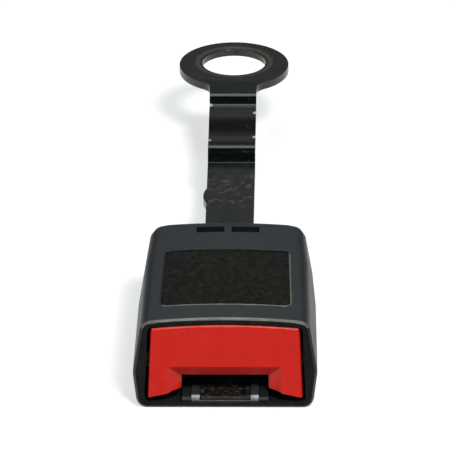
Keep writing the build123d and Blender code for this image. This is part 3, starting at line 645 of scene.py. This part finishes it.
def on_recess_rim(edge):
    """Whether an edge of the upper cover lies on the rim of the pad's recess."""
    if not edge.is_manifold or not edge.is_convex or edge.calc_face_angle() < math.radians(RIM_SHARP):
        return False
    middle = (edge.verts[0].co + edge.verts[1].co) / 2
    low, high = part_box("velour_pad")
    inside = all(low[axis] - RIM_REACH < middle[axis] < high[axis] + RIM_REACH for axis in (0, 1))
    return inside and middle.z > low[2]


def on_coin_circle(edge):
    """Whether an edge of the strap lies on the outer circle of the coined face round the ring's hole."""
    middle = (edge.verts[0].co + edge.verts[1].co) / 2
    flat = Vector((middle.x - RING_HOLE.x, middle.y - RING_HOLE.y, 0))
    level = abs(edge.verts[0].co.z - edge.verts[1].co.z) < LEVEL
    return level and abs(flat.length - COIN_RADIUS) < COIN_REACH


rub_lip_and_paint_light(soften("upper_cover", "upper_cover_shell", COVER_EDGE, wide_edges=on_recess_rim,
               wide_mm=RECESS_EDGE))
rub_lip_and_paint_light(soften("lower_cover", "lower_cover_shell", COVER_EDGE))
button = soften("release_button", "push_button", BUTTON_EDGE, segments=3, sharp_degrees=BUTTON_SHARP)
light_cap_edge(button)
shade_behind_cap(button)
soften("anchor_strap", "strap_and_ring", STRAP_EDGE, wide_edges=on_coin_circle, wide_mm=COIN_EDGE,
       reshape=press_steps)
for rigid in ("buckle_frame", "ejector", "latch_plate", "lock_pin", "latch_pivot_pin", "anchor_rivet",
              "rivet_washer", "spring_seat", "tongue_guide_left", "tongue_guide_right"):
    soften(rigid, f"{rigid}_finished", WORKS_EDGE)
for soft_strip in ("rattle_strip_left", "rattle_strip_right", "strap_cushion_lower", "strap_cushion_upper"):
    soften(soft_strip, f"{soft_strip}_finished", STRIP_EDGE)


# ---------------------------------------------------------------- geometry trees

def new_tree(name, sizes):
    """Geometry tree with named inputs, the identifiers of those inputs, and its input node."""
    tree = bpy.data.node_groups.new(name, "GeometryNodeTree")
    tree.is_modifier = True
    identifiers = {}
    for label, kind in sizes.items():
        socket = tree.interface.new_socket(name=label, in_out="INPUT", socket_type=kind)
        identifiers[label] = socket.identifier
    tree.interface.new_socket(name="Piece", in_out="OUTPUT", socket_type="NodeSocketGeometry")
    return tree, identifiers, add(tree, "NodeGroupInput").outputs


def grow(piece, tree, identifiers, values):
    """Run a tree on a piece with the given sizes, and keep the result as plain mesh."""
    modifier = piece.modifiers.new(tree.name, "NODES")
    modifier.node_group = tree
    for label, value in values.items():
        modifier[identifiers[label]] = value
    bake(piece)


PILE_SEED = 11
# Most fibres on a square metre, before their spacing thins them
PILE_DENSITY = 3.0e7
# Upward part of a normal above which a face bears pile
PILE_UPWARD = 0.2
# Largest turns of a fibre about its own axes, as multiples of the lean: the last one points it any way
PILE_TURNS = Vector((1, 1, 9))
# Smallest and largest fibre, as shares of the full size
FIBRE_SHARE = (0.55, 1.1)


def pile_tree():
    """Pile on the upper faces of a pad: three-sided spikes, leaning at random and in trodden patches."""
    tree, identifiers, sizes = new_tree("velour pile", {
        "Pad": "NodeSocketGeometry",
        "Spacing": "NodeSocketFloat",
        "Fibre length": "NodeSocketFloat",
        "Fibre radius": "NodeSocketFloat",
        "Patch size": "NodeSocketFloat",
        "Lean": "NodeSocketFloat",
        "Patch lean": "NodeSocketFloat",
        "Backing": "NodeSocketMaterial",
        "Pile": "NodeSocketMaterial",
    })
    normal = add(tree, "GeometryNodeInputNormal")
    height = add(tree, "ShaderNodeSeparateXYZ", Vector=normal.outputs[0])
    upper = add(tree, "FunctionNodeCompare", {"operation": "GREATER_THAN"}, _0=height.outputs["Z"],
                _1=PILE_UPWARD)
    points = add(tree, "GeometryNodeDistributePointsOnFaces", {"distribute_method": "POISSON"},
                 Mesh=sizes["Pad"], Selection=upper.outputs[0], Distance_Min=sizes["Spacing"],
                 Density_Max=PILE_DENSITY, Seed=PILE_SEED)
    turn = add(tree, "FunctionNodeRandomValue", {"data_type": "FLOAT_VECTOR"}, _0=-PILE_TURNS, _1=PILE_TURNS,
               Seed=PILE_SEED + 1)
    spread = add(tree, "ShaderNodeVectorMath", {"operation": "SCALE"}, Vector=turn.outputs[0],
                 Scale=sizes["Lean"])
    loose = add(tree, "FunctionNodeEulerToRotation", Euler=spread.outputs[0])
    position = add(tree, "GeometryNodeInputPosition")
    grid = add(tree, "ShaderNodeMath", {"operation": "DIVIDE"}, _0=1.0, _1=sizes["Patch size"])
    patch = add(tree, "ShaderNodeTexNoise", Vector=position.outputs[0], Scale=grid.outputs[0], Detail=3.0)
    centred = add(tree, "ShaderNodeVectorMath", {"operation": "SUBTRACT"}, _0=patch.outputs["Color"],
                  _1=(0.5, 0.5, 0.5))
    trodden = add(tree, "ShaderNodeVectorMath", {"operation": "SCALE"}, Vector=centred.outputs[0],
                  Scale=sizes["Patch lean"])
    laid = add(tree, "FunctionNodeEulerToRotation", Euler=trodden.outputs[0])
    upright = add(tree, "FunctionNodeRotateRotation", {"rotation_space": "LOCAL"},
                  Rotation=points.outputs["Rotation"], Rotate_By=laid.outputs[0])
    leaning = add(tree, "FunctionNodeRotateRotation", {"rotation_space": "LOCAL"},
                  Rotation=upright.outputs[0], Rotate_By=loose.outputs[0])
    share = add(tree, "FunctionNodeRandomValue", {"data_type": "FLOAT"}, _2=FIBRE_SHARE[0],
                _3=FIBRE_SHARE[1], Seed=PILE_SEED + 2)
    fibre = add(tree, "GeometryNodeMeshCone", {"fill_type": "NGON"}, Vertices=3, Radius_Top=0.0,
                Radius_Bottom=sizes["Fibre radius"], Depth=sizes["Fibre length"])
    planted = add(tree, "GeometryNodeInstanceOnPoints", Points=points.outputs["Points"],
                  Instance=fibre.outputs["Mesh"], Rotation=leaning.outputs[0], Scale=share.outputs[1])
    fibres = add(tree, "GeometryNodeRealizeInstances", Geometry=planted.outputs[0])
    dyed = add(tree, "GeometryNodeSetMaterial", Geometry=fibres.outputs[0], Material=sizes["Pile"])
    pad = add(tree, "GeometryNodeSetMaterial", Geometry=sizes["Pad"], Material=sizes["Backing"])
    both = add(tree, "GeometryNodeJoinGeometry", Geometry=pad.outputs[0])
    tree.links.new(dyed.outputs[0], both.inputs[0])
    add(tree, "NodeGroupOutput", Piece=both.outputs[0])
    return tree, identifiers


def velour_patch():
    """Glued patch of velour: the pad with rounded edges, and its pile."""
    patch = merged_copy("velour_pad", "velour_patch")
    break_edges(patch, PAD_EDGE, 3, SHARP)
    bake(patch)
    tree, identifiers = pile_tree()
    # Real pile is finer: its fibres are drawn about five times as thick as they are, so that they show
    grow(patch, tree, identifiers, {
        "Spacing": 0.24 * MM,
        "Fibre length": 0.75 * MM,
        "Fibre radius": 0.10 * MM,
        "Patch size": 2.2 * MM,
        "Lean": 0.45,
        "Patch lean": 2.4,
        "Backing": FINISHES["velour"],
        "Pile": PILE,
    })
    stand_for(patch, "velour_pad")


velour_patch()


BEAD_SIDES = 10


def bead_tree():
    """Round bead along the edges of a wire mesh."""
    tree, identifiers, sizes = new_tree("moulded bead", {
        "Path": "NodeSocketGeometry",
        "Bead radius": "NodeSocketFloat",
        "Plastic": "NodeSocketMaterial",
    })
    path = add(tree, "GeometryNodeMeshToCurve", Mesh=sizes["Path"])
    section = add(tree, "GeometryNodeCurvePrimitiveCircle", Resolution=BEAD_SIDES,
                  Radius=sizes["Bead radius"])
    bead = add(tree, "GeometryNodeCurveToMesh", Curve=path.outputs[0], Profile_Curve=section.outputs[0],
               Fill_Caps=True)
    smooth = add(tree, "GeometryNodeSetShadeSmooth", Geometry=bead.outputs[0])
    real = add(tree, "GeometryNodeRealizeInstances", Geometry=smooth.outputs[0])
    plastic = add(tree, "GeometryNodeSetMaterial", Geometry=real.outputs[0], Material=sizes["Plastic"])
    add(tree, "NodeGroupOutput", Piece=plastic.outputs[0])
    return tree, identifiers


def recess_bead():
    """Moulded bead round the recess of the velour, with a painted highlight on its front and right sides,
    where the key light meets it.
    """
    rim = merged_copy("upper_cover", "recess_bead")
    work = bmesh.new()
    work.from_mesh(rim.data)
    spare = [edge for edge in work.edges if not on_recess_rim(edge)]
    bmesh.ops.delete(work, geom=spare, context="EDGES")
    bmesh.ops.delete(work, geom=list(work.faces), context="FACES_ONLY")
    loose = [vert for vert in work.verts if not vert.link_edges]
    bmesh.ops.delete(work, geom=loose, context="VERTS")
    work.to_mesh(rim.data)
    work.free()
    tree, identifiers = bead_tree()
    grow(rim, tree, identifiers, {"Bead radius": 0.25 * MM, "Plastic": FINISHES["cover_plastic"]})
    rim.data.materials.append(LIP_HIGHLIGHT_PAINT)
    lit_slot = len(rim.data.materials) - 1
    low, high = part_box("velour_pad")
    # Painted highlight on the front and right sides
    for face in rim.data.polygons:
        if face.center.y < low[1] + RIM_REACH or face.center.x > high[0] - RIM_REACH:
            face.material_index = lit_slot
    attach(rim, "housing")


recess_bead()


COIL_STEPS = 24
WIRE_SIDES = 8
WIRE_RADIUS = 0.3
COIL_TURNS = {
    "ejector_spring": 6,
    "button_spring_left": 4,
    "button_spring_right": 4,
    "pin_spring_left": 2,
    "pin_spring_right": 2,
}


def coil_tree():
    """Round wire wound on a helix along Y."""
    tree, identifiers, sizes = new_tree("coil spring", {
        "Holder": "NodeSocketGeometry",
        "Turns": "NodeSocketFloat",
        "Coil radius": "NodeSocketFloat",
        "Wire radius": "NodeSocketFloat",
        "Length": "NodeSocketFloat",
        "Front": "NodeSocketVector",
        "Steel": "NodeSocketMaterial",
    })
    helix = add(tree, "GeometryNodeCurveSpiral", Resolution=COIL_STEPS, Rotations=sizes["Turns"],
                Start_Radius=sizes["Coil radius"], End_Radius=sizes["Coil radius"], Height=sizes["Length"])
    laid = add(tree, "GeometryNodeTransform", Geometry=helix.outputs[0], Translation=sizes["Front"],
               Rotation=(-math.pi / 2, 0, 0))
    round_wire = add(tree, "GeometryNodeCurvePrimitiveCircle", Resolution=WIRE_SIDES,
                     Radius=sizes["Wire radius"])
    wire = add(tree, "GeometryNodeCurveToMesh", Curve=laid.outputs[0], Profile_Curve=round_wire.outputs[0],
               Fill_Caps=True)
    smooth = add(tree, "GeometryNodeSetShadeSmooth", Geometry=wire.outputs[0])
    real = add(tree, "GeometryNodeRealizeInstances", Geometry=smooth.outputs[0])
    steel = add(tree, "GeometryNodeSetMaterial", Geometry=real.outputs[0], Material=sizes["Steel"])
    add(tree, "NodeGroupOutput", Piece=steel.outputs[0])
    return tree, identifiers


coils, coil_inputs = coil_tree()


def coil_spring(node):
    """Smooth coil in a spring node's box, wound from its front end to its rear end, in place of the node."""
    low, high = (Vector(corner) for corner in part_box(node))
    middle = (low + high) / 2
    spring = bpy.data.objects.new(f"{node}_coil", bpy.data.meshes.new(f"{node}_coil"))
    bpy.context.scene.collection.objects.link(spring)
    wire = WIRE_RADIUS * MM
    front = Vector((middle.x, low.y + wire, middle.z))
    rear = Vector((middle.x, high.y - wire, middle.z))
    grow(spring, coils, coil_inputs, {
        "Turns": float(COIL_TURNS[node]),
        "Coil radius": (high.x - low.x) / 2 - wire,
        "Wire radius": wire,
        "Length": rear.y - front.y,
        "Front": front,
        "Steel": FINISHES["spring_steel"],
    })
    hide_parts(node)
    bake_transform(spring)


for spring_node in COIL_TURNS:
    coil_spring(spring_node)


# ---------------------------------------------------------------- floor, light and camera

# Half the floor's side in metres, its paper's own grey, and the glow that makes it white to the eye
FLOOR_HALF = 6.0
FLOOR_GREY = (0.6, 0.6, 0.6, 1)
FLOOR_GLOW = 0.60
# Faint light from the rest of the room
ROOM_TINT = (0.92, 0.97, 1, 1)
ROOM_GLOW = 0.06

floor_mesh = bpy.data.meshes.new("floor")
floor_mesh.from_pydata([(-FLOOR_HALF, -FLOOR_HALF, 0), (FLOOR_HALF, -FLOOR_HALF, 0),
                        (FLOOR_HALF, FLOOR_HALF, 0), (-FLOOR_HALF, FLOOR_HALF, 0)], [], [(0, 1, 2, 3)])
floor = bpy.data.objects.new("floor", floor_mesh)
bpy.context.scene.collection.objects.link(floor)
floor_material, floor_tree, _ = new_material("pale_paper")
paper = add(floor_tree, "ShaderNodeBsdfPrincipled", Base_Color=FLOOR_GREY, Roughness=0.9)
glow = add(floor_tree, "ShaderNodeEmission", Color=linear(WHITE), Strength=FLOOR_GLOW)
rays = add(floor_tree, "ShaderNodeLightPath")
seen = add(floor_tree, "ShaderNodeMath", {"operation": "MAXIMUM"}, _0=rays.outputs["Is Camera Ray"],
           _1=rays.outputs["Is Glossy Ray"])
seen = add(floor_tree, "ShaderNodeMath", {"operation": "MAXIMUM"}, _0=seen.outputs[0],
           _1=rays.outputs["Is Transmission Ray"])
plain = add(floor_tree, "ShaderNodeAddShader", _0=paper.outputs[0], _1=glow.outputs[0])
mixed = add(floor_tree, "ShaderNodeMixShader", _0=seen.outputs[0], _1=paper.outputs[0],
            _2=plain.outputs[0])
finish_material(floor_tree, mixed)
floor_mesh.materials.append(floor_material)

world = bpy.data.worlds.new("studio")
bpy.context.scene.world = world
world.use_nodes = True
sky = world.node_tree
sky.nodes.clear()
room = add(sky, "ShaderNodeBackground", Color=ROOM_TINT, Strength=ROOM_GLOW)
add(sky, "ShaderNodeOutputWorld", Surface=room.outputs[0])


def soft_box(name, place_mm, aim_mm, width_mm, height_mm, watts, colour=(1, 1, 1)):
    """Rectangular lamp that faces a point."""
    lamp = bpy.data.lights.new(name, "AREA")
    lamp.shape = "RECTANGLE"
    lamp.size = width_mm * MM
    lamp.size_y = height_mm * MM
    lamp.energy = watts
    lamp.color = colour
    holder = bpy.data.objects.new(name, lamp)
    bpy.context.scene.collection.objects.link(holder)
    place = Vector(place_mm) * MM
    away = place - Vector(aim_mm) * MM
    holder.matrix_world = Matrix.Translation(place) @ away.to_track_quat("Z", "Y").to_matrix().to_4x4()


# The bank behind and above lights the strap's bends in a line, and the wall far behind its flat faces
soft_box("overhead_bank", (0, 480, 831), (0, 0, 0), 400, 640, watts=2.0, colour=(0.78, 0.91, 1))
soft_box("key", (320, -520, 880), (0, 0, 0), 260, 260, watts=7.5)
soft_box("left_fill", (-900, -500, 450), (0, 0, 10), 400, 400, watts=2.4)
soft_box("rear_wall", (0, 1000, 420), (0, 0, 15), 1600, 420, watts=0.22)

# Camera: angles in degrees, distance, aim, and focal length as a multiple of the sensor's width
VIEW_AZIMUTH = 0.996
VIEW_ELEVATION = 25.144
VIEW_ROLL = -0.367
VIEW_DISTANCE = 1923.5
VIEW_AIM = (-1.569, 0.0, 6.974)
FOCAL_PER_WIDTH = 14.0984444
SENSOR_WIDTH = 36.0


def place_camera():
    """Long lens that looks along +Y from above, turned by the view's azimuth, elevation and roll."""
    azimuth, elevation, roll = (math.radians(a) for a in (VIEW_AZIMUTH, VIEW_ELEVATION, VIEW_ROLL))
    level = Vector((-math.sin(azimuth), math.cos(azimuth), 0))
    forward = level * math.cos(elevation) - Vector((0, 0, math.sin(elevation)))
    right = Vector((math.cos(azimuth), math.sin(azimuth), 0))
    up = right.cross(forward)
    turned_right = right * math.cos(roll) + up * math.sin(roll)
    turned_up = up * math.cos(roll) - right * math.sin(roll)
    place = (Vector(VIEW_AIM) - forward * VIEW_DISTANCE) * MM
    turn = Matrix((turned_right, turned_up, -forward)).transposed().to_4x4()
    lens = bpy.data.cameras.new("camera")
    lens.sensor_width = SENSOR_WIDTH
    lens.sensor_fit = "HORIZONTAL"
    lens.lens = FOCAL_PER_WIDTH * SENSOR_WIDTH
    lens.clip_start = 0.01
    lens.clip_end = 50
    holder = bpy.data.objects.new("camera", lens)
    holder.matrix_world = Matrix.Translation(place) @ turn
    bpy.context.scene.collection.objects.link(holder)
    bpy.context.scene.camera = holder


place_camera()
bpy.context.scene.view_settings.view_transform = "Standard"
